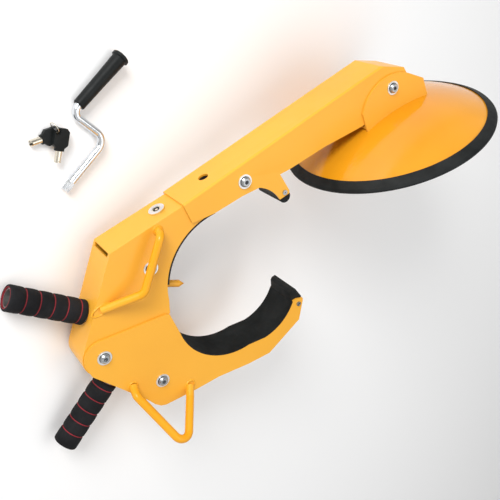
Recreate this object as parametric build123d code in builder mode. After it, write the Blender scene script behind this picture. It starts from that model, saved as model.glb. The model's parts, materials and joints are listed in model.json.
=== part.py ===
from build123d import *
import os
from math import cos, radians, sin

os.makedirs("parts", exist_ok=True)

# Driving sizes, in millimetres. The clamp is drawn in its own plane, the middle plane of
# its folded sheets: x runs along the arm towards the cover disc, y is square to the arm,
# and z is the offset to either side.
sheet = 3.0
half_width = 30.0  # outside of the arm and of the lower jaw
inner_half = half_width - sheet
slip = 0.3  # gap between sheets that slide past each other
body_half = inner_half - slip  # outside of the body, which nests inside both
body_inner = body_half - sheet
bracket_in = half_width + 0.4  # inside of the disc bracket
bracket_out = bracket_in + sheet
fold = 3.0
arm_length = 347.0
nose = (384.0, -22.0)
nose_end = (386.0, -31.0)

arm_pivot = (89.4, -24.1)
jaw_pivot = (-187.4, -119.4)
jaw_cross = (-141.9, -210.7)
pawl_pivot = (-76.0, -51.0)
disc_pivot = (353.3, -37.2)
crank_hole = (50.0, 14.0)  # place along the arm, diameter
lock_x = -26.0

bolt_radius = 5.0
running = 0.05  # radial clearance of a bolt that turns in a sheet
washer_radius = 10.0
washer_thick = 1.5
head_radius = 6.8
head_high = 4.0
head_bevel = 1.6
socket_radius = 3.0
socket_floor = 1.4  # steel left under the socket
nut_flats = 15.0
nut_high = 6.0
thread_proud = 2.0  # bolt that stands out of its nut

body_arc = (18.0, -133.5, 97.2)  # centre and radius of the C edge of the body
jaw_arc = (0.5, -172.6, 88.0)
hook_arc = (71.3, -90.1, 55.9)
tip_arc = (28.7, -195.6, 74.3)
lug_radius = 28.0  # rounded end of the body about the jaw pivot
jaw_lug = 26.5

tube_radius = 12.7
tube_wall = 2.0
grip_radius = 16.8
grip_length = 102.0
upper_foot = (-173.6, -64.8)  # where the upper handle leaves the body
upper_lean = 127.9
lower_foot = (-200.0, -173.0)
lower_lean = -154.5

rim_radius = 159.6
dome_high = 50.0
disc_centre = (348.7, -119.8)
disc_lean = 4.0
dome_sheet = 2.0

# How the clamp lies: on the rim of its disc and on its handles, so the working plane is
# turned about the floor's y axis and then about x, and lifted.
ground = (-101.91, 60.95)
lie_lift = 71.126
lie_turns = (-4.922, -12.943)
lie = Location((*ground, lie_lift), (*lie_turns, 0.0))
mid = Plane(lie)


def seat(plane):
    """A plane given in the clamp's own frame, put where the clamp lies."""
    return Plane(lie * plane.location)


def at(x, y, h=0.0):
    """A point of the clamp's own frame, put where the clamp lies."""
    return mid.from_local_coords((x, y, h))


def polar(arc, angle, grow=0.0):
    """A point on an arc (centre x, centre y, radius) at an angle in degrees."""
    r = arc[2] + grow
    return (arc[0] + r * cos(radians(angle)), arc[1] + r * sin(radians(angle)))


def along(foot, lean, distance, aside=0.0):
    """A point a distance along a line that leaves foot at an angle."""
    c, s = cos(radians(lean)), sin(radians(lean))
    return (foot[0] + distance * c - aside * s, foot[1] + distance * s + aside * c)


def arc_line(arc, start, end, grow=0.0):
    """Part of an arc, as a line of the current BuildLine."""
    middle = (start + end) / 2
    return ThreePointArc(
        polar(arc, start, grow), polar(arc, middle, grow), polar(arc, end, grow)
    )


def save(part, label):
    part.label = label
    export_step(part, f"parts/{label}.step")


def slab(draw, low, high, mode=Mode.ADD):
    """Extrude an outline from one offset of the middle plane to another."""
    with BuildSketch(mid.offset(low)) as outline:
        draw()
    extrude(outline.sketch, amount=high - low, dir=mid.z_dir, mode=mode)


def disc_at(place, radius, low, high, mode=Mode.ADD):
    """A round piece square to the middle plane."""
    def draw():
        with Locations(place):
            Circle(radius)
    slab(draw, low, high, mode)


def polygon(*points):
    """An outline of straight runs, drawn when called."""
    def draw():
        with BuildLine() as edge:
            Polyline(*points, close=True)
        make_face(edge.edges())
    return draw


def band(arc, start, end, inner, outer):
    """A strip between two radii of one arc, drawn when called."""
    def draw():
        with BuildLine() as edge:
            arc_line(arc, start, end, outer)
            Line(polar(arc, end, outer), polar(arc, end, inner))
            arc_line(arc, end, start, inner)
            Line(polar(arc, start, inner), polar(arc, start, outer))
        make_face(edge.edges())
    return draw


def fold_edges(part, test):
    """Edges square to nothing but a bend, picked by where their middles are."""
    picked = ShapeList()
    for edge in part.edges():
        place = mid.to_local_coords(edge.center())
        if test(place.X, place.Y, place.Z):
            picked.append(edge)
    return picked


# ---------------------------------------------------------------- the arm
def arm_outline():
    hook_top, hook_tip = polar(hook_arc, 53), polar(hook_arc, 9)
    with BuildLine() as edge:
        Polyline((0, 0), (arm_length, 0), nose, nose_end, (372, -58), (340, -65),
                 (296.4, -63.2), (281.2, -61.9), (220.2, -53.8), (155.5, -49.8),
                 (140.8, -47.6), (144.9, -77.7), (143.1, -81.9), hook_tip)
        arc_line(hook_arc, 9, 53)
        Polyline(hook_top, (99, -44.6), (78.8, -41), (32.1, -37.4), (0, -30.2), (0, 0))
    make_face(edge.edges())


def arm_cavity():
    polygon((-5, -sheet), (arm_length - 0.9, -sheet), (nose[0] - 1.6, nose[1] - 2.6),
            (400, nose[1] - 2.6), (400, -100), (-5, -100))()


with BuildPart(mid) as arm_shell:
    slab(arm_outline, -half_width, half_width)
    fillet(fold_edges(arm_shell.part, lambda x, y, z: abs(y) < 0.1 and abs(z) > 29.9
                      and x > 100), fold)
    slab(arm_cavity, -inner_half, inner_half, Mode.SUBTRACT)
    disc_at(arm_pivot, bolt_radius, -half_width, half_width, Mode.SUBTRACT)
    disc_at(disc_pivot, bolt_radius + running, -half_width, half_width, Mode.SUBTRACT)
    with BuildSketch(seat(Plane((crank_hole[0], 1, 0), x_dir=(1, 0, 0), z_dir=(0, -1, 0)))):
        Circle(crank_hole[1] / 2)
    extrude(amount=6, mode=Mode.SUBTRACT)
save(arm_shell.part, "arm_shell")


# ---------------------------------------------------------------- bolts and washers
def bolt(builder, place, reach):
    """A button-headed bolt across the clamp, its head on the near side."""
    top = reach + washer_thick
    disc_at(place, bolt_radius, -top - nut_high - thread_proud, top)
    disc_at(place, head_radius, top, top + head_high)
    crown = fold_edges(builder.part, lambda x, y, z: z > top + head_high - 0.01)
    chamfer(crown, head_bevel)

    def socket():
        with Locations(place):
            RegularPolygon(socket_radius, 6)
    slab(socket, top + socket_floor, top + head_high + 1, Mode.SUBTRACT)


def nut(place, reach):
    top = reach + washer_thick

    def hexagon():
        with Locations(place):
            RegularPolygon(nut_flats / 2, 6, major_radius=False)
            Circle(bolt_radius, mode=Mode.SUBTRACT)
    slab(hexagon, -top - nut_high, -top)


def washers(place, reach):
    for low in (reach, -reach - washer_thick):
        disc_at(place, washer_radius, low, low + washer_thick)
        disc_at(place, bolt_radius, low, low + washer_thick, Mode.SUBTRACT)


bolt_places = {
    "arm": (arm_pivot, half_width),
    "jaw_pivot": (jaw_pivot, half_width),
    "jaw_cross": (jaw_cross, half_width),
    "pawl_pivot": (pawl_pivot, body_half),
    "disc": (disc_pivot, bracket_out),
}
for bolt_name, (place, reach) in bolt_places.items():
    with BuildPart(mid) as bolt_part:
        bolt(bolt_part, place, reach)
    save(bolt_part.part, f"{bolt_name}_bolt")
    with BuildPart(mid) as nut_part:
        nut(place, reach)
    save(nut_part.part, f"{bolt_name}_nut")
    with BuildPart(mid) as washer_part:
        washers(place, reach)
    save(washer_part.part, f"{bolt_name}_washers")


# ---------------------------------------------------------------- the body
back_lean = 226.4  # direction of the back, from the top corner down
top_corner = (-110.0, 0.9)
back_end = polar((*jaw_pivot, lug_radius), back_lean - 90)


def body_outline():
    lug = (*jaw_pivot, lug_radius)
    with BuildLine() as edge:
        Polyline((103, -8), (14, -3.6), top_corner, back_end)
        arc_line(lug, back_lean - 90, 275)
        Polyline(polar(lug, 275), (-84.3, -127.5), polar(body_arc, 165))
        arc_line(body_arc, 165, 80)
        Polyline(polar(body_arc, 80), (60, -35), (89.4, -38), (103, -28), (103, -8))
    make_face(edge.edges())


def body_cavity():
    """The space between the side plates: it leaves the top sheet and the back."""
    inner = (*jaw_pivot, lug_radius - sheet)
    inner_end = polar(inner, back_lean - 90)
    with BuildLine() as edge:
        Polyline((120, -12), (14, -3.6 - sheet), (-108.8, 0.9 - sheet), inner_end)
        arc_line(inner, back_lean - 90, 188)
        Polyline(polar(inner, 188), (-230, polar(inner, 188)[1]), (-230, -200),
                 (120, -200), (120, -12))
    make_face(edge.edges())


with BuildPart(mid) as body_shell:
    slab(body_outline, -body_half, body_half)
    slab(body_cavity, -body_inner, body_inner, Mode.SUBTRACT)
    slab(polygon((10, -20), (14, 20), (120, 20), (120, -20)), -body_inner, body_inner,
         Mode.SUBTRACT)
    slab(polygon(along(top_corner, back_lean, 1.5, -4), along(top_corner, back_lean, 1.5, 9),
                 along(top_corner, back_lean, 7, 9), along(top_corner, back_lean, 7, -4)),
         -body_inner + 2, body_inner - 2, Mode.SUBTRACT)
    disc_at(arm_pivot, bolt_radius + running, -body_half, body_half, Mode.SUBTRACT)
    disc_at(jaw_pivot, bolt_radius + running, -body_half, body_half, Mode.SUBTRACT)
    disc_at(pawl_pivot, bolt_radius, -body_half, body_half, Mode.SUBTRACT)
    with BuildSketch(seat(Plane((*upper_foot, 0), z_dir=(cos(radians(upper_lean)),
                                                         sin(radians(upper_lean)), 0)))):
        Circle(tube_radius)
    extrude(amount=10, both=True, mode=Mode.SUBTRACT)
    with BuildSketch(seat(Plane((lock_x, 5, 0), x_dir=(1, 0, 0), z_dir=(0, -1, 0)))):
        Circle(9.5)
    extrude(amount=14, mode=Mode.SUBTRACT)
save(body_shell.part, "body_shell")

with BuildPart(mid) as edge_plate:
    slab(band(body_arc, 112, 165, 0, sheet), -body_inner, body_inner)
save(edge_plate.part, "edge_plate")

spike_base = polar(body_arc, 157, 4)
spike_lean = radians(-39.2)
spike_radius = 5.0
spike_plane = seat(Plane((*spike_base, 0), x_dir=(0, 0, 1),
                         z_dir=(cos(spike_lean), sin(spike_lean), 0)))

arc_rubber = 2.5
with BuildPart(mid) as arc_lining:
    slab(band(body_arc, 80, 152, -arc_rubber, 0), -body_half, body_half)
save(arc_lining.part, "arc_lining")

with BuildPart(mid) as tread_spike:
    with BuildSketch(spike_plane.offset(-8)) as shank:
        Circle(spike_radius)
    extrude(shank.sketch, amount=42, dir=spike_plane.z_dir)
    with BuildSketch(spike_plane.offset(34)) as point:
        Circle(spike_radius)
    extrude(point.sketch, amount=8, dir=spike_plane.z_dir, taper=30)
    slab(band(body_arc, 90, 180, -60, 0), -40, 40, Mode.INTERSECT)
save(tread_spike.part, "tread_spike")


def handle(foot, lean, inner, outer, start, end):
    """A round sleeve along a handle, between two distances from its foot."""
    turn = radians(lean)
    axis = seat(Plane((*along(foot, lean, start), 0), x_dir=(0, 0, 1),
                      z_dir=(cos(turn), sin(turn), 0)))
    with BuildSketch(axis) as ring:
        Circle(outer)
        Circle(inner, mode=Mode.SUBTRACT)
    extrude(ring.sketch, amount=end - start, dir=axis.z_dir)


for side, foot, lean in (("upper", upper_foot, upper_lean), ("lower", lower_foot, lower_lean)):
    with BuildPart(mid) as tube:
        handle(foot, lean, tube_radius - tube_wall, tube_radius, -6, grip_length + 1)
    save(tube.part, f"{side}_handle_tube")
    with BuildPart(mid) as liner:
        handle(foot, lean, tube_radius, tube_radius + 1.2, 3, grip_length + 3)
    save(liner.part, f"{side}_grip_liner")
    with BuildPart(mid) as grip:
        handle(foot, lean, tube_radius + 1.2, grip_radius, 3, grip_length + 3)
    save(grip.part, f"{side}_grip_foam")


def bar(points, radius, bends):
    """A round bar bent along points of the clamp's frame."""
    with BuildLine() as route:
        FilletPolyline(*[at(*p) for p in points], radius=bends)
    start = route.line @ 0
    with BuildSketch(Plane(start, z_dir=route.line % 0)) as section:
        Circle(radius)
    sweep(section.sketch, path=route.line)


with BuildPart() as carry_handle:
    bar([(-43.5, -11, body_half), (-47, -9, 44), (-103, -61, 50), (-156, -59, body_half)],
        5.5, [9, 14])
save(carry_handle.part, "carry_handle")


# ---------------------------------------------------------------- the lower jaw
jaw_back = [(-172.6, -225.0), (-168.7, -237.3), (-163.0, -246.7), (-156.4, -251.4)]
jaw_sole = [(-109.3, -264.5), (-71.6, -272.7), (-22.7, -290.2), (13.7, -299.7), (79.6, -283.4)]
jaw_nose = [(97.8, -256.8), (99.3, -252.9)]
web_start = (-207.0, -146.0)  # the jaw's back sheet starts below the body's rounded end


def jaw_outline():
    lug = (*jaw_pivot, jaw_lug)
    with BuildLine() as edge:
        arc_line(lug, 178, 62)
        Polyline(polar(lug, 62), (-128, -111.2), (-90.7, -123), (-86.1, -126.8),
                 polar(jaw_arc, 174))
        arc_line(jaw_arc, 174, 264)
        Polyline(polar(jaw_arc, 264), polar(tip_arc, -98))
        arc_line(tip_arc, -98, -43)
        Polyline(polar(tip_arc, -43), (89.5, -246.9), *reversed(jaw_nose),
                 *reversed(jaw_sole), *reversed(jaw_back), (-197.9, -167.5),
                 (-213.5, -133.5), polar(lug, 178))
    make_face(edge.edges())


def jaw_cavity():
    """Everything inside the side plates but the sheet round the back and the sole."""
    inside = [(-204.3, -144.8), (-194.9, -166.0), (-169.7, -223.9), (-165.9, -236.0),
              (-161.0, -244.2), (-155.6, -248.5), (-108.6, -261.6), (-70.6, -269.9),
              (-21.8, -287.3), (13.7, -296.5), (77.6, -280.8), (95.2, -255.0)]
    polygon((-250, -146), *inside, (110, -235), (110, -60), (-250, -60))()


def round_hole(foot, lean, radius):
    """A round hole along a handle's line, through the sheet it leaves."""
    turn = radians(lean)
    axis = seat(Plane((*foot, 0), z_dir=(cos(turn), sin(turn), 0)))
    with BuildSketch(axis) as hole:
        Circle(radius)
    extrude(hole.sketch, amount=9, dir=axis.z_dir, both=True, mode=Mode.SUBTRACT)


with BuildPart(mid) as jaw_shell:
    slab(jaw_outline, -half_width, half_width)
    slab(jaw_cavity, -inner_half, inner_half, Mode.SUBTRACT)
    disc_at(jaw_pivot, bolt_radius, -half_width, half_width, Mode.SUBTRACT)
    disc_at(jaw_cross, bolt_radius, -half_width, half_width, Mode.SUBTRACT)
    round_hole(lower_foot, lower_lean, tube_radius)
save(jaw_shell.part, "jaw_shell")


def jaw_strip(outer, inner):
    """A strip that follows the jaw's inner edge, between two offsets from it."""
    def draw():
        with BuildLine() as edge:
            arc_line(jaw_arc, 176, 264, outer)
            Line(polar(jaw_arc, 264, outer), polar(tip_arc, -98, outer))
            arc_line(tip_arc, -98, -44.5, outer)
            Line(polar(tip_arc, -44.5, outer), polar(tip_arc, -44.5, inner))
            arc_line(tip_arc, -44.5, -98, inner)
            Line(polar(tip_arc, -98, inner), polar(jaw_arc, 264, inner))
            arc_line(jaw_arc, 264, 176, inner)
            Line(polar(jaw_arc, 176, inner), polar(jaw_arc, 176, outer))
        make_face(edge.edges())
    return draw


with BuildPart(mid) as jaw_liner_plate:
    slab(jaw_strip(sheet, 0), -inner_half, inner_half)
save(jaw_liner_plate.part, "jaw_liner_plate")

jaw_rubber = 2.0  # it lies on the edges of the jaw's sheets
with BuildPart(mid) as jaw_lining:
    slab(jaw_strip(0, -jaw_rubber), -half_width + 0.4, half_width - 0.4)
save(jaw_lining.part, "jaw_lining")

with BuildPart(mid) as jaw_tip_cap:
    slab(polygon((80.9, -245.9), (85.5, -233.5), (89, -231), (95, -231.5), (99.5, -251),
                 (92.5, -251), (82.3, -247.3)), -inner_half, inner_half)
save(jaw_tip_cap.part, "jaw_tip_cap")


def hook_pad_outline():
    with BuildLine() as edge:
        arc_line(hook_arc, 50, 9)
        Polyline(polar(hook_arc, 9), (127.5, -82.5))
        ThreePointArc((127.5, -82.5), (137, -93), (145, -82))
        Polyline((145, -82), (142, -70), (131, -66), (122, -50), (112, -44),
                 polar(hook_arc, 50))
    make_face(edge.edges())


with BuildPart(mid) as hook_pad:
    slab(hook_pad_outline, -inner_half, inner_half)
save(hook_pad.part, "hook_pad")


hook_rivet = (137.0, -76.0)
jaw_rivet = (89.0, -256.5)
rivet_radius = 3.6
rivet_high = 1.6
for name, place in (("hook_rivets", hook_rivet), ("jaw_rivets", jaw_rivet)):
    with BuildPart(mid) as rivet_part:
        for low in (half_width, -half_width - rivet_high):
            disc_at(place, rivet_radius, low, low + rivet_high)
    save(rivet_part.part, name)

with BuildPart() as foot_loop:
    bar([(-178.8, -187.5, half_width), (-183, -192, half_width + 15),
         (-170, -280, half_width + 66), (-124, -257, half_width + 12),
         (-114, -250.4, half_width)], 5.8, [9, 14, 9])
save(foot_loop.part, "foot_loop")


# ---------------------------------------------------------------- the ratchet and the lock
tooth_count = 14
ratchet_radius = 96.0
ratchet_start = 2.0
tooth_step = 3.2
ratchet_half = 3.0


def ratchet_outline():
    """A plate on the jaw's two bolts, with saw teeth about the jaw pivot."""
    centre = (*jaw_pivot, ratchet_radius)
    teeth = []
    for k in range(tooth_count):
        angle = ratchet_start + k * tooth_step
        teeth += [polar(centre, angle, -5), polar(centre, angle)]
        teeth += [polar(centre, angle + tooth_step, -5)]
    end = ratchet_start + tooth_count * tooth_step
    with BuildLine() as edge:
        Polyline(*[p for k, p in enumerate(teeth) if k % 3 or not k], polar(centre, end, -20),
                 polar((*jaw_pivot, 14), 75), (-201, -120), polar((*jaw_cross, 14), 190),
                 polar((*jaw_cross, 14), -60), polar(centre, ratchet_start, -20), teeth[0])
    make_face(edge.edges())


with BuildPart(mid) as jaw_ratchet:
    slab(ratchet_outline, -ratchet_half, ratchet_half)
    disc_at(jaw_pivot, bolt_radius, -9, 9, Mode.SUBTRACT)
    disc_at(jaw_cross, bolt_radius, -9, 9, Mode.SUBTRACT)
save(jaw_ratchet.part, "jaw_ratchet")

with BuildPart(mid) as ratchet_spacers:
    for place, reach in ((jaw_pivot, inner_half - 4), (jaw_cross, inner_half)):
        for low, high in ((ratchet_half, reach), (-reach, -ratchet_half)):
            disc_at(place, 8.0, low, high)
            disc_at(place, bolt_radius, low, high, Mode.SUBTRACT)
save(ratchet_spacers.part, "ratchet_spacers")

pawl_tip = polar((*jaw_pivot, ratchet_radius), ratchet_start + 4.5 * tooth_step, 2.0)


def pawl_outline():
    with BuildLine() as edge:
        Polyline(pawl_tip, (-90, -74), (-85, -52), (-72, -42), (-38, -27), (-38, -32),
                 (-66, -56), (-76, -66), (-86, -88), close=True)
    make_face(edge.edges())


with BuildPart(mid) as pawl:
    slab(pawl_outline, -ratchet_half, ratchet_half)
    disc_at(pawl_pivot, 10.5, -ratchet_half, ratchet_half)
    disc_at(pawl_pivot, bolt_radius + running, -9, 9, Mode.SUBTRACT)
save(pawl.part, "pawl")

with BuildPart(mid) as pawl_spacers:
    for low, high in ((ratchet_half + slip, body_inner), (-body_inner, -ratchet_half - slip)):
        disc_at(pawl_pivot, 8.0, low, high)
        disc_at(pawl_pivot, bolt_radius, low, high, Mode.SUBTRACT)
save(pawl_spacers.part, "pawl_spacers")


def upright(x, top, *layers):
    """Round layers about a line square to the arm: (radius, depth) from the top down."""
    start = top
    for radius, depth in layers:
        seat_plane = seat(Plane((x, start, 0), x_dir=(1, 0, 0), z_dir=(0, -1, 0)))
        with BuildSketch(seat_plane) as ring:
            Circle(radius)
        extrude(ring.sketch, amount=depth, dir=seat_plane.z_dir)
        start -= depth


def upright_bore(x, top, radius, depth):
    seat_plane = seat(Plane((x, top, 0), x_dir=(1, 0, 0), z_dir=(0, -1, 0)))
    with BuildSketch(seat_plane) as ring:
        Circle(radius)
    extrude(ring.sketch, amount=depth, dir=seat_plane.z_dir, mode=Mode.SUBTRACT)


lock_top = 0.9  # the lock's rim stands a little above the body's top sheet
with BuildPart(mid) as lock_barrel:
    upright(lock_x, lock_top, (11.0, 2.6), (9.45, 17.4))
    upright_bore(lock_x, lock_top + 1, 6.05, 30)
save(lock_barrel.part, "lock_barrel")

with BuildPart(mid) as lock_plug:
    upright(lock_x, lock_top - 0.6, (6.0, 20.4))
    upright_bore(lock_x, lock_top, 4.6, 8.6)
    upright(lock_x, lock_top - 1.0, (2.2, 9.0))
save(lock_plug.part, "lock_plug")

with BuildPart(mid) as lock_cam:
    cam_plane = seat(Plane((lock_x, lock_top - 21, 0), x_dir=(1, 0, 0), z_dir=(0, -1, 0)))
    with BuildSketch(cam_plane) as cam:
        SlotCenterToCenter(9, 9)
    extrude(cam.sketch, amount=3, dir=cam_plane.z_dir)
save(lock_cam.part, "lock_cam")

nut_top = -22.0
with BuildPart(mid) as jack_nut:
    block = seat(Plane((crank_hole[0], nut_top, 0), x_dir=(1, 0, 0), z_dir=(0, -1, 0)))
    with BuildSketch(block) as face:
        Rectangle(22, 2 * body_inner)
    extrude(face.sketch, amount=11, dir=block.z_dir)
    upright_bore(crank_hole[0], nut_top + 1, 6.0 + running, 20)
save(jack_nut.part, "jack_nut")

with BuildPart(mid) as jack_screw:
    upright(crank_hole[0], -6.6, (9.0, 9.0), (6.0, 22.0))
    socket_plane = seat(Plane((crank_hole[0], -6, 0), x_dir=(1, 0, 0), z_dir=(0, -1, 0)))
    with BuildSketch(socket_plane) as hex_socket:
        RegularPolygon(5.1, 6, major_radius=False)
    extrude(hex_socket.sketch, amount=8, dir=socket_plane.z_dir, mode=Mode.SUBTRACT)
save(jack_screw.part, "jack_screw")

cap_top = -4.2  # slack under the arm's sheet, which tilts as the cap lifts it
with BuildPart(mid) as thrust_cap:
    upright(crank_hole[0], cap_top, (11.0, 2.3))
    upright_bore(crank_hole[0], 0, 7.2, 9)
save(thrust_cap.part, "thrust_cap")


# ---------------------------------------------------------------- the cover disc
disc_axis = (sin(radians(disc_lean)), cos(radians(disc_lean)))
ball = (rim_radius ** 2 + dome_high ** 2) / (2 * dome_high)
disc_plane = seat(Plane((*disc_centre, 0), x_dir=(disc_axis[1], -disc_axis[0], 0),
                        z_dir=(0, 0, 1)))


def dome_point(radius, reach):
    """A point of a ball's outline, in the disc's own radius and height."""
    return (reach, dome_high - ball + (radius ** 2 - reach ** 2) ** 0.5)


def cap_section(outer, inner, reach):
    """Section of the dome between two balls, out to a reach from its axis."""
    top, low = dome_point(outer, 0), dome_point(inner, 0)
    far_top, far_low = dome_point(outer, reach), dome_point(inner, reach)
    half_top, half_low = dome_point(outer, reach / 2), dome_point(inner, reach / 2)
    with BuildLine() as edge:
        ThreePointArc(top, half_top, far_top)
        Line(far_top, far_low)
        ThreePointArc(far_low, half_low, low)
        Line(low, top)
    make_face(edge.edges())


disc_spin = Axis(disc_plane.origin, disc_plane.y_dir)
with BuildPart() as disc_dome:
    with BuildSketch(disc_plane) as section:
        cap_section(ball, ball - dome_sheet, rim_radius - 3)
    revolve(section.sketch, axis=disc_spin)
save(disc_dome.part, "disc_dome")

trim_in = rim_radius - 13.0
with BuildPart() as disc_trim:
    with BuildSketch(disc_plane) as section:
        top_in = dome_point(ball + 1.6, trim_in)
        low_in = dome_point(ball - dome_sheet - 1.6, trim_in)
        with BuildLine() as edge:
            Polyline(low_in, top_in, dome_point(ball + 1.8, rim_radius - 2),
                     (rim_radius, 0.2), (rim_radius - 0.6, -2.6), (rim_radius - 3, -3.4),
                     close=True)
        make_face(edge.edges())
    revolve(section.sketch, axis=disc_spin)
    with BuildSketch(disc_plane) as core:
        cap_section(ball, ball - dome_sheet, rim_radius - 3)
    revolve(core.sketch, axis=disc_spin, mode=Mode.SUBTRACT)
save(disc_trim.part, "disc_trim")


def bracket_outline():
    with BuildLine() as edge:
        Polyline((292.2, -90), (293, -45.2), (303.1, -32.6))
        ThreePointArc((303.1, -32.6), (348.3, -17.3), (386.2, -31.9))
        Polyline((386.2, -31.9), (410.8, -54.2), (411.1, -95), (292.2, -90))
    make_face(edge.edges())


bracket_floor = -67.0  # top of the bracket's base sheet
with BuildPart(mid) as disc_bracket:
    slab(bracket_outline, -bracket_out, bracket_out)
    slab(polygon((280, bracket_floor), (430, bracket_floor), (430, 0), (280, 0)),
         -bracket_in, bracket_in, Mode.SUBTRACT)
    slab(polygon((280, bracket_floor - 3), (430, bracket_floor - 3), (430, -99), (280, -99)),
         -bracket_in, bracket_in, Mode.SUBTRACT)
    disc_at(disc_pivot, bolt_radius, -bracket_out, bracket_out, Mode.SUBTRACT)
    with BuildSketch(disc_plane) as solid_ball:
        with BuildLine() as edge:
            ThreePointArc(dome_point(ball, 0), dome_point(ball, 80), dome_point(ball, 150))
            Polyline(dome_point(ball, 150), (150, -60), (0, -60), dome_point(ball, 0))
        make_face(edge.edges())
    revolve(solid_ball.sketch, axis=disc_spin, mode=Mode.SUBTRACT)
save(disc_bracket.part, "disc_bracket")


# ---------------------------------------------------------------- crank and keys on the floor
def on_floor(x, y, z):
    return (ground[0] + x, ground[1] + y, z)


hex_end = (-96.0, 69.1, 5.3)
rod_radius = 5.0
grip_start = (-27.9, 148.6, 8.1)
grip_end = (52.6, 168.2, 11.6)


def grip_axis(share):
    """A point on the crank grip's axis, at a share of the way from its small end."""
    return tuple(a + share * (b - a) for a, b in zip(grip_start, grip_end))


crank_points = [grip_axis(0.9), grip_axis(-0.15), (-15.2, 90.5, 8.6), (-83.5, 72.4, 5.8)]


def floor_plane(start, end):
    """A plane at start that looks towards end, both on the floor's own axes."""
    a, b = Vector(*on_floor(*start)), Vector(*on_floor(*end))
    return Plane(a, z_dir=b - a), (b - a).length


with BuildPart() as crank_rod:
    with BuildLine() as route:
        FilletPolyline(*[on_floor(*p) for p in crank_points], radius=[10, 15])
    with BuildSketch(Plane(route.line @ 0, z_dir=route.line % 0)) as section:
        Circle(rod_radius)
    sweep(section.sketch, path=route.line)
    tip_plane, tip_length = floor_plane(crank_points[-1], hex_end)
    with BuildSketch(tip_plane) as hexagon:
        RegularPolygon(4.9, 6, major_radius=False)
    extrude(hexagon.sketch, amount=tip_length, dir=tip_plane.z_dir)
save(crank_rod.part, "crank_rod")

with BuildPart() as crank_grip:
    grip_plane, grip_reach = floor_plane(grip_start, grip_end)
    side = Plane(grip_plane.origin, x_dir=grip_plane.x_dir, z_dir=-grip_plane.y_dir)
    with BuildSketch(side) as section:
        with BuildLine() as edge:
            Polyline((rod_radius + running, 0), (6.8, 0), (7.6, 1.2), (8.4, grip_reach * 0.5),
                     (9.4, grip_reach - 5), (11.3, grip_reach - 4), (11.3, grip_reach - 1),
                     (10.3, grip_reach), (0, grip_reach), (0, grip_reach - 3),
                     (rod_radius + running, grip_reach - 3), close=True)
        make_face(edge.edges())
    revolve(section.sketch, axis=Axis(grip_plane.origin, grip_plane.z_dir))
save(crank_grip.part, "crank_grip")

ring_place = (-68.0, 137.0)
key_low = {"a": 1.6, "b": 6.9}
key_turn = {"a": 163.0, "b": -131.0}
head_thick = 5.0
head_size = (24.0, 20.0)
neck_size = (4.0, 11.0)
head_middle = 6.0  # from the ring's hole to the middle of the head
neck_middle = 19.5
barrel_radius = 4.0
barrel_bore = 2.9
barrel_length = 14.0
barrel_solid = 4.0  # length that isn't bored
ring_aside = 1.9
ring_hole = 3.9
key_side = {"a": 3.0, "b": 4.5}  # how far the ring's hole is from the key's middle line


def key_plane(key, z):
    turn = radians(key_turn[key])
    return Plane(on_floor(*ring_place, z), x_dir=(cos(turn), sin(turn), 0), z_dir=(0, 0, 1))


def key_head(key):
    """A moulded key head: the ring's hole is at the plane's origin, the barrel along x."""
    aside = key_side[key]
    with BuildSketch(key_plane(key, key_low[key])) as head:
        with Locations((head_middle, aside)):
            Rectangle(*head_size)
        chamfer(head.vertices(), 4.0)
        with Locations((neck_middle, aside)):
            Rectangle(*neck_size)
    extrude(head.sketch, amount=head_thick)
    with BuildSketch(Plane(on_floor(ring_place[0], ring_place[1] + ring_aside, 0))) as hole:
        Circle(ring_hole)
    extrude(hole.sketch, amount=20, mode=Mode.SUBTRACT)


for key in ("a", "b"):
    middle = key_low[key] + head_thick / 2
    with BuildPart() as head_part:
        key_head(key)
    save(head_part.part, f"key_{key}_head")
    with BuildPart() as barrel_part:
        plane = key_plane(key, middle)
        start = plane.from_local_coords((neck_middle + neck_size[0] / 2, key_side[key], 0))
        round_plane = Plane(start, z_dir=plane.x_dir)
        with BuildSketch(round_plane) as ring:
            Circle(barrel_radius)
        extrude(ring.sketch, amount=barrel_length, dir=round_plane.z_dir)
        with BuildSketch(round_plane.offset(barrel_solid)) as bore:
            Circle(barrel_bore)
        extrude(bore.sketch, amount=barrel_length, dir=round_plane.z_dir, mode=Mode.SUBTRACT)
        with Locations(Location(round_plane.offset(barrel_length - 1))):
            Box(2.4, 3 * barrel_radius, 2.4, mode=Mode.SUBTRACT)
    save(barrel_part.part, f"key_{key}_barrel")

ring_radius = 6.8
ring_wire = 0.65
with BuildPart() as key_ring:
    centre = on_floor(ring_place[0], ring_place[1] + ring_radius, ring_radius + ring_wire)
    ring_plane = Plane(centre, x_dir=(0, 1, 0), z_dir=(1, 0, 0))
    with BuildSketch(Plane(ring_plane.from_local_coords((ring_radius, 0, 0)),
                           z_dir=(0, 0, 1))) as wire:
        Circle(ring_wire)
    revolve(wire.sketch, axis=Axis(centre, (1, 0, 0)))
save(key_ring.part, "key_ring")
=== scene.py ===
"""Looks for the wheel clamp: a folded steel clamp, its cover disc, a crank and two keys."""

import json
from math import cos, pi, radians, sin
from random import Random

import bmesh
import bpy
from mathutils import Matrix, Vector


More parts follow.
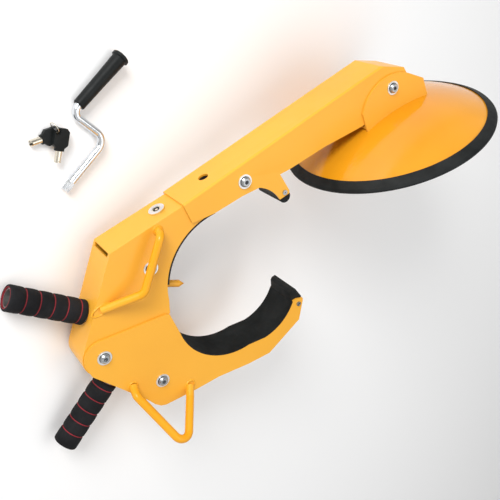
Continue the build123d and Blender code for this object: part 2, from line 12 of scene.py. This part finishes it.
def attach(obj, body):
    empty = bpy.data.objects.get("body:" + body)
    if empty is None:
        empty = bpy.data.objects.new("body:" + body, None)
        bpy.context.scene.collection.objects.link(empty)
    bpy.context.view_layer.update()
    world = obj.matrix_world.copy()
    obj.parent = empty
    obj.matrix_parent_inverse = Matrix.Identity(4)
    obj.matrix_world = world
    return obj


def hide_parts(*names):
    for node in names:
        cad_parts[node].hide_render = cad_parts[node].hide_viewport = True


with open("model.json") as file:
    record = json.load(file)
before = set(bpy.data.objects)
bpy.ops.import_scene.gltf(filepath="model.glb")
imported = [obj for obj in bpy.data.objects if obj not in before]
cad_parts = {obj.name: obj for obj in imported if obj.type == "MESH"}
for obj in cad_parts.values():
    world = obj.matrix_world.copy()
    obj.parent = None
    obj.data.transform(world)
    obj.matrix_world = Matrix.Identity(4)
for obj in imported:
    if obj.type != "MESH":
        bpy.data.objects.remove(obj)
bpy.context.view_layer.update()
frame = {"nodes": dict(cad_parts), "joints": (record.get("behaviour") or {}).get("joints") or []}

# ---------------------------------------------------------------- the clamp's own frame
# The clamp lies tilted on the floor. Its joints say where it is: x runs along the arm,
# z is the axis of its hinges, and y is the axis of its lock.
joints = {j["name"]: j for j in frame["joints"]}
ARM_PIVOT = Vector((0.0894, -0.0241, 0.0))
axis_z = Vector(joints["jaw_swing"]["axis"]).normalized()
axis_y = Vector(joints["lock_turn"]["axis"]).normalized()
axis_x = axis_y.cross(axis_z).normalized()
turn = Matrix((axis_x, axis_y, axis_z)).transposed()
clamp = turn.to_4x4()
clamp.translation = Vector(joints["arm_tilt"]["pos_m"]) - turn @ ARM_PIVOT
MM = 0.001
SHARP_ANGLE = radians(38)
# sockets of a colour Mix node, which Blender names alike for every data type
MIX_FACTOR, MIX_A, MIX_B, MIX_RESULT = 0, 6, 7, 2


def at(x, y, z=0.0):
    """A point given in millimetres in the clamp's own frame."""
    return clamp @ Vector((x * MM, y * MM, z * MM))


def toward(x, y, z=0.0):
    """A direction given in the clamp's own frame."""
    return (turn @ Vector((x, y, z))).normalized()


def placed(origin, z_dir, x_hint=None):
    """A matrix that puts local z along z_dir at origin."""
    z = z_dir.normalized()
    hint = x_hint or (Vector((0, 0, 1)) if abs(z.z) < 0.9 else Vector((1, 0, 0)))
    x = (hint - z * hint.dot(z)).normalized()
    m = Matrix((x, z.cross(x), z)).transposed().to_4x4()
    m.translation = origin
    return m


# ---------------------------------------------------------------- materials
class Nodes:
    """A short way to write a node tree."""

    def __init__(self, name):
        self.material = bpy.data.materials.new(name)
        self.material.use_nodes = True
        self.tree = self.material.node_tree
        self.shader = self.tree.nodes["Principled BSDF"]

    def add(self, kind, **inputs):
        node = self.tree.nodes.new(kind)
        for key, value in inputs.items():
            self.set(node, key.replace("_", " "), value)
        return node

    def set(self, node, key, value):
        if isinstance(value, bpy.types.NodeSocket):
            self.tree.links.new(value, node.inputs[key])
        else:
            node.inputs[key].default_value = value

    def fixed(self, **values):
        for key, value in values.items():
            self.set(self.shader, key.replace("_", " "), value)

    def place(self):
        return self.add("ShaderNodeTexCoord").outputs["Object"]

    def noise(self, scale, detail=4.0, rough=0.5, where=None):
        node = self.add("ShaderNodeTexNoise", Scale=scale, Detail=detail, Roughness=rough)
        self.set(node, "Vector", where or self.place())
        return node.outputs["Fac"]

    def ramp(self, fac, *stops):
        node = self.tree.nodes.new("ShaderNodeValToRGB")
        self.tree.links.new(fac, node.inputs["Fac"])
        marks = node.color_ramp.elements
        while len(marks) < len(stops):
            marks.new(0.5)
        for mark, (place, colour) in zip(marks, stops):
            mark.position = place
            mark.color = colour if len(colour) == 4 else (*colour, 1)
        return node.outputs["Color"]

    def grey(self, fac, *stops):
        return self.ramp(fac, *[(p, (v, v, v)) for p, v in stops])

    def maths(self, operation, a, b):
        node = self.tree.nodes.new("ShaderNodeMath")
        node.operation = operation
        self.set(node, 0, a)
        self.set(node, 1, b)
        return node.outputs[0]

    def mix(self, fac, base, tint):
        """The base colour, with a plain tint laid over it by fac."""
        node = self.tree.nodes.new("ShaderNodeMix")
        node.data_type = "RGBA"
        self.set(node, MIX_FACTOR, fac)
        self.set(node, MIX_A, base)
        self.set(node, MIX_B, (*tint, 1))
        return node.outputs[MIX_RESULT]

    def bump(self, height, strength, distance):
        node = self.add("ShaderNodeBump", Strength=strength, Distance=distance)
        self.set(node, "Height", height)
        self.set(self.shader, "Normal", node.outputs["Normal"])

    def edges(self, low, high):
        """Where the surface is convex: the mask for a highlight painted along edges."""
        point = self.tree.nodes.new("ShaderNodeNewGeometry").outputs["Pointiness"]
        return self.grey(point, (low, 0.0), (high, 1.0))


def paint(name, base, deep, light, rough, coat):
    """Sprayed enamel: slow drifts of tone, orange peel, dust specks and a painted highlight on
    convex edges.
    """
    n = Nodes(name)
    drift = n.noise(7.0, 3.0)
    colour = n.ramp(drift, (0.3, deep), (0.5, base), (0.72, light))
    speck = n.grey(n.noise(900.0, 2.0), (0.70, 0.0), (0.78, 1.0))
    colour = n.mix(n.maths("MULTIPLY", speck, 0.10), colour, (0.35, 0.16, 0.01))
    # painted highlight: convex edges get a lighter yellow tint
    colour = n.mix(n.maths("MULTIPLY", n.edges(0.52, 0.60), 0.35), colour, (0.90, 0.50, 0.09))
    n.set(n.shader, "Base Color", colour)
    smear = n.noise(38.0, 5.0, 0.6)
    n.set(n.shader, "Roughness", n.grey(smear, (0.3, rough - 0.05), (0.7, rough + 0.08)))
    n.fixed(Coat_Weight=coat, Coat_Roughness=0.12, Specular_IOR_Level=0.28)
    peel = n.maths("ADD", n.noise(420.0, 2.0), n.maths("MULTIPLY", n.noise(60.0), 0.6))
    n.bump(peel, 0.10, 0.0004)
    return n.material


def rubber(name, colour, rough, grain, depth, gloss):
    """Rubber, foam or moulded plastic: dust in drifts, and a grain of its own size."""
    n = Nodes(name)
    dust = n.noise(30.0, 6.0, 0.6)
    light = tuple(min(1.0, c * 1.9 + 0.006) for c in colour)
    n.set(n.shader, "Base Color", n.ramp(dust, (0.35, colour), (0.75, light)))
    n.set(n.shader, "Roughness", n.grey(n.noise(90.0), (0.3, rough - 0.06), (0.7, rough + 0.08)))
    n.fixed(Specular_IOR_Level=gloss)
    n.bump(n.noise(grain, 3.0, 0.6), 0.5, depth)
    return n.material


def metal(name, colour, rough, spangle=0.0):
    """Plated or bare metal: drifts of tone, fine scratches, and the grain of zinc."""
    n = Nodes(name)
    drift = n.noise(70.0, 3.0)
    dark = tuple(c * 0.82 for c in colour)
    n.set(n.shader, "Base Color", n.ramp(drift, (0.3, dark), (0.65, colour)))
    stretch = n.add("ShaderNodeMapping")
    n.set(stretch, "Vector", n.place())
    stretch.inputs["Scale"].default_value = (1.0, 1.0, 9.0)
    lines = n.noise(260.0, 5.0, 0.7, stretch.outputs["Vector"])
    n.set(n.shader, "Roughness", n.grey(lines, (0.3, rough - 0.06), (0.7, rough + 0.12)))
    n.fixed(Metallic=1.0)
    n.bump(n.maths("ADD", lines, n.maths("MULTIPLY", n.noise(500.0), spangle)), 0.06, 0.0001)
    return n.material


YELLOW = paint("yellow_enamel", (0.78, 0.335, 0.007), (0.74, 0.305, 0.005),
               (0.82, 0.365, 0.010), 0.36, 0.12)
DOME = paint("dome_enamel", (0.70, 0.285, 0.009), (0.66, 0.26, 0.007),
             (0.74, 0.31, 0.012), 0.16, 0.45)
RUBBER = rubber("black_rubber", (0.007, 0.008, 0.008), 0.55, 700.0, 0.0003, 0.16)
FOAM = rubber("black_foam", (0.006, 0.006, 0.007), 0.78, 1500.0, 0.0007, 0.15)
RED = rubber("red_foam", (0.17, 0.012, 0.018), 0.7, 1400.0, 0.0005, 0.2)
PLASTIC = rubber("black_plastic", (0.005, 0.006, 0.006), 0.42, 900.0, 0.00015, 0.16)
ZINC = metal("zinc_plate", (0.48, 0.50, 0.51), 0.24, spangle=0.2)
WASHER = metal("washer_zinc", (0.86, 0.86, 0.85), 0.38, spangle=0.6)
CHROME = metal("bright_zinc", (0.80, 0.83, 0.86), 0.16)
NICKEL = metal("nickel", (0.82, 0.76, 0.64), 0.2)
STEEL = metal("tube_steel", (0.36, 0.35, 0.34), 0.5)
# dark steel of the inner parts; also the painted shade in sockets, rivet holes and the keyway,
# and the painted shadow round bolt heads
DARK = metal("dark_steel_and_painted_shade", (0.10, 0.10, 0.11), 0.5)

# ---------------------------------------------------------------- CAD nodes that stay
FINISH = (
    (YELLOW, ("arm_shell", "body_shell", "jaw_shell", "edge_plate", "disc_bracket",
              "jaw_liner_plate", "tread_spike", "carry_handle", "foot_loop")),
    (DOME, ("disc_dome",)),
    (RUBBER, ("arc_lining", "disc_trim", "hook_pad", "jaw_tip_cap", "jaw_lining")),
    (PLASTIC, ("crank_grip", "key_a_head", "key_b_head")),
    (CHROME, ("crank_rod", "lock_barrel")),
    (NICKEL, ("key_a_barrel", "key_b_barrel", "key_ring", "lock_plug")),
    (STEEL, ("upper_handle_tube", "lower_handle_tube")),
    (FOAM, ("upper_grip_foam", "lower_grip_foam")),
    (RED, ("upper_grip_liner", "lower_grip_liner")),
    (DARK, ("lock_cam", "jack_nut", "pawl", "jaw_ratchet", "pawl_spacers",
            "ratchet_spacers", "thrust_cap", "jack_screw")),
)
SOFT_EDGE = {"arm_shell": 0.9, "body_shell": 1.0, "jaw_shell": 1.0, "disc_bracket": 0.8,
             "hook_pad": 1.6, "jaw_tip_cap": 3.0, "crank_rod": 0.5, "crank_grip": 0.7,
             "key_a_head": 0.9, "key_b_head": 0.9, "tread_spike": 0.4, "lock_barrel": 0.5}
PLAIN_EDGE = 0.35  # the bevel of every other node, in millimetres


def dress(node, material, edge):
    """A CAD node keeps its mesh: it gets a material and softly broken edges."""
    node.data.materials.clear()
    node.data.materials.append(material)
    for face in node.data.polygons:
        face.use_smooth = True
    soften = node.modifiers.new("edge", "BEVEL")
    soften.width = edge * MM
    soften.segments = 3
    soften.limit_method = "ANGLE"
    soften.angle_limit = radians(32)
    crease = node.modifiers.new("normals", "WEIGHTED_NORMAL")
    crease.keep_sharp = True
    crease.weight = 80


given = {name: material for material, names in FINISH for name in names}
for name, node in frame["nodes"].items():
    material = given.get(name, WASHER if name.endswith("washers") else ZINC)
    dress(node, material, SOFT_EDGE.get(name, PLAIN_EDGE))


# ---------------------------------------------------------------- mesh helpers
def piece(name, bm, material, body, matrix=None):
    """A smooth object that rides on a body and takes its finish from a slot."""
    mesh = bpy.data.meshes.new(name)
    bmesh.ops.recalc_face_normals(bm, faces=bm.faces)
    bm.to_mesh(mesh)
    bm.free()
    obj = bpy.data.objects.new(name, mesh)
    bpy.context.scene.collection.objects.link(obj)
    if matrix is not None:
        mesh.transform(matrix)
    for face in mesh.polygons:
        face.use_smooth = True
    mesh.set_sharp_from_angle(angle=SHARP_ANGLE)
    mesh.materials.append(material)
    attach(obj, body)
    return obj


def lathe(bm, profile, steps=96):
    """A closed ring swept round z from (radius, height) points in millimetres."""
    rings = []
    for k in range(steps):
        a = 2 * pi * k / steps
        rings.append([bm.verts.new((r * MM * cos(a), r * MM * sin(a), h * MM))
                      for r, h in profile])
    count = len(profile)
    for k in range(steps):
        here, there = rings[k], rings[(k + 1) % steps]
        for i in range(count):
            j = (i + 1) % count
            bm.faces.new((here[i], there[i], there[j], here[j]))
    return bm


def polar(arc, angle, grow=0.0):
    """A point on an arc (centre x, centre y, radius) of the clamp's frame, in millimetres."""
    r = arc[2] + grow
    return arc[0] + r * cos(radians(angle)), arc[1] + r * sin(radians(angle))


# ---------------------------------------------------------------- foam grips
TUBE_RADIUS = 12.7
LINER_RADIUS = 13.9
GRIP_RADIUS = 16.8
GRIP_FROM, GRIP_TO = 3.0, 105.0  # along the handle, from its foot
GROOVES = [85.0, 66.7, 48.4, 30.1, 11.8]
GROOVE_FLOOR = 15.6
HANDLES = {"upper": ((-173.6, -64.8), 127.9, "body"), "lower": ((-200.0, -173.0), -154.5, "jaw")}


def foam_profile():
    """The sleeve's outline: soft ends, a slight crown between the grooves."""
    outline = [(LINER_RADIUS, GRIP_FROM), (GRIP_RADIUS - 1.3, GRIP_FROM),
               (GRIP_RADIUS - 0.4, GRIP_FROM + 0.4), (GRIP_RADIUS - 0.1, GRIP_FROM + 1.3)]
    for middle in reversed(GROOVES):
        outline += [(GRIP_RADIUS - 0.3, middle - 2.1), (GRIP_RADIUS - 0.8, middle - 1.2),
                    (GROOVE_FLOOR, middle - 0.75), (GROOVE_FLOOR, middle + 0.75),
                    (GRIP_RADIUS - 0.8, middle + 1.2), (GRIP_RADIUS - 0.3, middle + 2.1),
                    (GRIP_RADIUS, middle + 6.0), (GRIP_RADIUS, middle + 12.0)]
    outline[-1] = (GRIP_RADIUS, GRIP_TO - 2.6)
    outline += [(GRIP_RADIUS - 0.25, GRIP_TO - 1.0), (GRIP_RADIUS - 0.8, GRIP_TO - 0.25),
                (GRIP_RADIUS - 1.5, GRIP_TO), (LINER_RADIUS, GRIP_TO)]
    return outline


def add_grip(side, foot, lean, body):
    matrix = placed(at(*foot), toward(cos(radians(lean)), sin(radians(lean))), toward(0, 0, 1))
    foam = piece(f"{side}_grip_sleeve", lathe(bmesh.new(), foam_profile()), FOAM, body,
                 matrix)
    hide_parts(f"{side}_grip_foam")
    red = lathe(bmesh.new(), [(TUBE_RADIUS + 0.03, GRIP_FROM), (LINER_RADIUS, GRIP_FROM),
                              (LINER_RADIUS, GRIP_TO - 0.1), (LINER_RADIUS - 0.3, GRIP_TO),
                              (TUBE_RADIUS + 0.3, GRIP_TO), (TUBE_RADIUS + 0.03, GRIP_TO - 0.3)])
    for middle in GROOVES:
        lathe(red, [(GROOVE_FLOOR - 0.1, middle - 0.7), (GROOVE_FLOOR + 0.15, middle - 0.6),
                    (GROOVE_FLOOR + 0.25, middle), (GROOVE_FLOOR + 0.15, middle + 0.6),
                    (GROOVE_FLOOR - 0.1, middle + 0.7)])
    layer = piece(f"{side}_grip_red_layer", red, RED, body, matrix)
    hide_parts(f"{side}_grip_liner")


for side, (foot, lean, body) in HANDLES.items():
    add_grip(side, foot, lean, body)


# ---------------------------------------------------------------- the jaw's studded lining
JAW_ARC = (0.5, -172.6, 88.0)
TIP_ARC = (28.7, -195.6, 74.3)
LINING_HALF = 29.6
LINING_BASE = 1.2
STUD = 0.8  # height of a stud over the base; studs are two cells apart
CELL = 1.5
LINING_BACK = 0.02
TURN_ANGLE = -98.0  # where the lining's second arc starts


def inward_at(angle):
    return Vector((-cos(radians(angle)), -sin(radians(angle))))


def lining_line():
    """Points and inward directions along the jaw's edge, one cell apart, in millimetres."""
    stations = []
    for arc, start, end in ((JAW_ARC, 176.3, 264.0), (TIP_ARC, TURN_ANGLE, -43.7)):
        count = round(arc[2] * radians(end - start) / CELL)
        for k in range(count + 1):
            angle = start + (end - start) * k / count
            stations.append((Vector(polar(arc, angle)), inward_at(angle)))
        if arc is JAW_ARC:
            last, first = stations[-1], Vector(polar(TIP_ARC, TURN_ANGLE))
            inward = inward_at(TURN_ANGLE)
            count = round((first - last[0]).length / CELL)
            for k in range(1, count):
                share = k / count
                stations.append((last[0].lerp(first, share), last[1].lerp(inward, share)))
    return stations


def add_jaw_lining():
    bm = bmesh.new()
    across = 2 * round(LINING_HALF / CELL)
    top, low = [], []
    stations = lining_line()
    for i, (place, inward) in enumerate(stations):
        rows = [], []
        for j in range(across + 1):
            z = LINING_HALF * (2 * j / across - 1)
            rim = j in (0, across) or i in (0, len(stations) - 1)
            high = LINING_BASE + (STUD if (i + j) % 2 and not rim else 0.0)
            for row, depth in zip(rows, (high, LINING_BACK)):
                point = place + inward * depth
                row.append(bm.verts.new(at(point.x, point.y, z)))
        top.append(rows[0])
        low.append(rows[1])
    for i in range(len(stations) - 1):
        for j in range(across):
            bm.faces.new((top[i][j], top[i + 1][j], top[i + 1][j + 1], top[i][j + 1]))
            bm.faces.new((low[i][j], low[i][j + 1], low[i + 1][j + 1], low[i + 1][j]))
        for j in (0, across):
            bm.faces.new((top[i][j], low[i][j], low[i + 1][j], top[i + 1][j]))
    for i in (0, len(stations) - 1):
        for j in range(across):
            bm.faces.new((top[i][j], top[i][j + 1], low[i][j + 1], low[i][j]))
    lining = piece("jaw_lining_studded", bm, RUBBER, "jaw")
    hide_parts("jaw_lining")


add_jaw_lining()


# ---------------------------------------------------------------- weld beads
def add_weld(name, body, centre, normal, long_way, reach, bead, ripples):
    """A rippled bead laid round the foot of a bar or a tube: reach is its two half axes."""
    luck = Random(name)
    u = long_way.normalized()
    v = normal.cross(u).normalized()
    per_ripple, sides = 6, 10
    steps = ripples * per_ripple
    bm = bmesh.new()
    rings = []
    swell = [1 + luck.uniform(-0.12, 0.12) for _ in range(ripples)]
    for k in range(steps):
        a = 2 * pi * k / steps
        out = u * cos(a) * reach[1] + v * sin(a) * reach[0]
        middle = centre + (u * cos(a) * reach[0] + v * sin(a) * reach[1]) * MM
        out.normalize()
        scallop = 0.86 + 0.14 * abs(sin(pi * k / per_ripple))
        size = bead * MM * scallop * swell[k // per_ripple]
        ring = []
        for m in range(sides):
            b = 2 * pi * m / sides
            ring.append(bm.verts.new(middle + (out * cos(b) + normal * sin(b) * 0.8) * size))
        rings.append(ring)
    for k in range(steps):
        here, there = rings[k], rings[(k + 1) % steps]
        for m in range(sides):
            n = (m + 1) % sides
            bm.faces.new((here[m], there[m], there[n], here[n]))
    piece(name, bm, YELLOW, body)


side_out = toward(0, 0, 1)
for side, normal_angle in (("upper", 136.4), ("lower", 204.6)):
    foot, lean, body = HANDLES[side]
    normal = toward(cos(radians(normal_angle)), sin(radians(normal_angle)))
    add_weld(f"{side}_tube_weld", body, at(*foot), normal, side_out, (13.4, 13.4), 1.3, 26)
for name, body, place, way, reach, bead in (
        ("carry_handle_weld_top", "body", (-43.5, -11.0, 26.7), (-3.5, 2), (6.0, 5.9), 1.5),
        ("carry_handle_weld_back", "body", (-156, -59, 26.7), (53, -2), (14.0, 5.9), 1.4),
        ("foot_loop_weld_back", "jaw", (-178.8, -187.5, 30), (-4.2, -4.5), (6.6, 6.2), 1.7),
        ("foot_loop_weld_front", "jaw", (-114, -250.4, 30), (-10, -6.6), (8.4, 6.2), 1.7)):
    add_weld(name, body, at(*place), side_out, toward(*way), reach, bead, 16)


# ---------------------------------------------------------------- painted shade in bolt sockets, rivet holes and the lock's keyway; painted shadow round bolt heads
SOCKETS = {"arm": ((89.4, -24.1), 30.0, "arm"), "jaw_pivot": ((-187.4, -119.4), 30.0, "jaw"),
           "jaw_cross": ((-141.9, -210.7), 30.0, "jaw"),
           "pawl_pivot": ((-76.0, -51.0), 26.7, "body"), "disc": ((353.3, -37.2), 33.4, "disc")}
SOCKET_FLOOR = 2.9  # washer and steel under the socket
RIVET_HIGH = 1.6
SHEET_FACE = 30.0  # the jaw's and the arm's near side, from the clamp's middle
for name, (place, reach, body) in SOCKETS.items():
    # painted shade: a dark disc at the floor of each hex socket
    socket_shade_disc = lathe(bmesh.new(), [(0.05, 0.0), (2.45, 0.0), (2.45, 0.12), (0.05, 0.12)], 24)
    piece(f"{name}_socket_painted_shade", socket_shade_disc, DARK, body,
          placed(at(*place, reach + SOCKET_FLOOR), side_out))
    # painted shadow: a dark ring round the foot of each bolt head
    ring = lathe(bmesh.new(), [(6.85, 1.5), (7.5, 1.5), (7.45, 1.62), (6.85, 1.75)], 64)
    piece(f"{name}_head_shadow_ring", ring, DARK, body,
          placed(at(*place, reach), side_out))
# painted shade: a flat dark disc in the hollow centre of each rivet
for name, place in (("hook", (137.0, -76.0)), ("jaw", (89.0, -256.5))):
    dimple = lathe(bmesh.new(), [(0.05, RIVET_HIGH), (0.9, RIVET_HIGH), (0.9, RIVET_HIGH + 0.06),
                                  (0.05, RIVET_HIGH + 0.06)], 24)
    piece(f"{name}_rivet_hole_shade", dimple, DARK, "arm" if name == "hook" else "jaw",
          placed(at(*place, SHEET_FACE), side_out))
keyway = lathe(bmesh.new(), [(2.25, -8.2), (4.55, -8.2), (4.55, -0.75), (4.35, -0.75),
                             (4.35, -8.0), (2.25, -8.0)], 64)
piece("lock_keyway_shadow", keyway, DARK, "plug",
      placed(at(-26.0, 0.9), toward(0, 1), side_out))


# ---------------------------------------------------------------- camera, light and floor
SKY = 0.64
FLAG_LOW, FLAG_HIGH = 0.25, 0.45  # the flags fade in between these heights of the sky
FLOOR_HALF = 30.0


def add_camera():
    """The camera's place and aim, in the clamp's own frame."""
    place = at(-202.4, 440.1, 767.5)
    right = toward(0.7724, -0.3458, 0.5327)
    down = toward(-0.5757, -0.7354, 0.3575)
    data = bpy.data.cameras.new("camera")
    data.sensor_width = 36.0
    data.lens = 50.0
    data.clip_start = 0.05
    data.clip_end = 100
    camera = bpy.data.objects.new("camera", data)
    back = right.cross(-down)
    matrix = Matrix((right, -down, back)).transposed().to_4x4()
    matrix.translation = place
    camera.matrix_world = matrix
    bpy.context.scene.collection.objects.link(camera)
    bpy.context.scene.camera = camera


def add_light(name, place, aim, size, power):
    data = bpy.data.lights.new(name, "AREA")
    data.shape = "RECTANGLE"
    data.size, data.size_y = size
    data.energy = power
    light = bpy.data.objects.new(name, data)
    light.matrix_world = placed(Vector(place), Vector(place) - Vector(aim))
    bpy.context.scene.collection.objects.link(light)


def studio_sky():
    """Soft white all round; high up are two grey flags that give metal something to reflect."""
    world = bpy.data.worlds.new("studio")
    world.use_nodes = True
    tree = world.node_tree
    where = tree.nodes.new("ShaderNodeTexCoord")
    split = tree.nodes.new("ShaderNodeSeparateXYZ")
    ramp = tree.nodes.new("ShaderNodeValToRGB")
    tree.links.new(where.outputs["Generated"], split.inputs["Vector"])
    tree.links.new(split.outputs["X"], ramp.inputs["Fac"])
    height = tree.nodes.new("ShaderNodeMapRange")
    height.inputs["From Min"].default_value = FLAG_LOW
    height.inputs["From Max"].default_value = FLAG_HIGH
    tree.links.new(split.outputs["Z"], height.inputs["Value"])
    mix = tree.nodes.new("ShaderNodeMix")
    mix.data_type = "RGBA"
    mix.inputs[MIX_A].default_value = (1, 1, 1, 1)
    tree.links.new(height.outputs["Result"], mix.inputs[MIX_FACTOR])
    tree.links.new(ramp.outputs["Color"], mix.inputs[MIX_B])
    tree.links.new(mix.outputs[MIX_RESULT], tree.nodes["Background"].inputs["Color"])
    marks = ramp.color_ramp.elements
    for place, value in ((0.0, 1.0), (0.06, 0.12), (0.2, 0.15), (0.28, 1.0), (0.52, 1.0),
                         (0.6, 0.25), (0.72, 0.3), (0.8, 1.0)):
        mark = marks[0] if place == 0.0 else marks.new(place)
        mark.position = place
        mark.color = (value, value, value, 1)
    marks[-1].color = (1, 1, 1, 1)
    tree.nodes["Background"].inputs["Strength"].default_value = SKY
    return world


def add_stage():
    bm = bmesh.new()
    bmesh.ops.create_grid(bm, x_segments=1, y_segments=1, size=FLOOR_HALF)
    mesh = bpy.data.meshes.new("floor")
    bm.to_mesh(mesh)
    bm.free()
    floor = bpy.data.objects.new("floor", mesh)
    bpy.context.scene.collection.objects.link(floor)
    n = Nodes("pale_floor")
    n.fixed(Base_Color=(0.96, 0.96, 0.96, 1), Roughness=0.8, Specular_IOR_Level=0.15)
    mesh.materials.append(n.material)
    bpy.context.scene.world = studio_sky()
    add_light("key", (-0.6, 1.9, 1.0), (0, -0.05, 0.1), (0.9, 0.9), 42)
    add_light("top", (0.1, -0.2, 2.2), (0, 0, 0), (1.8, 1.8), 14)


add_camera()
add_stage()
bpy.context.scene.view_settings.view_transform = "Standard"
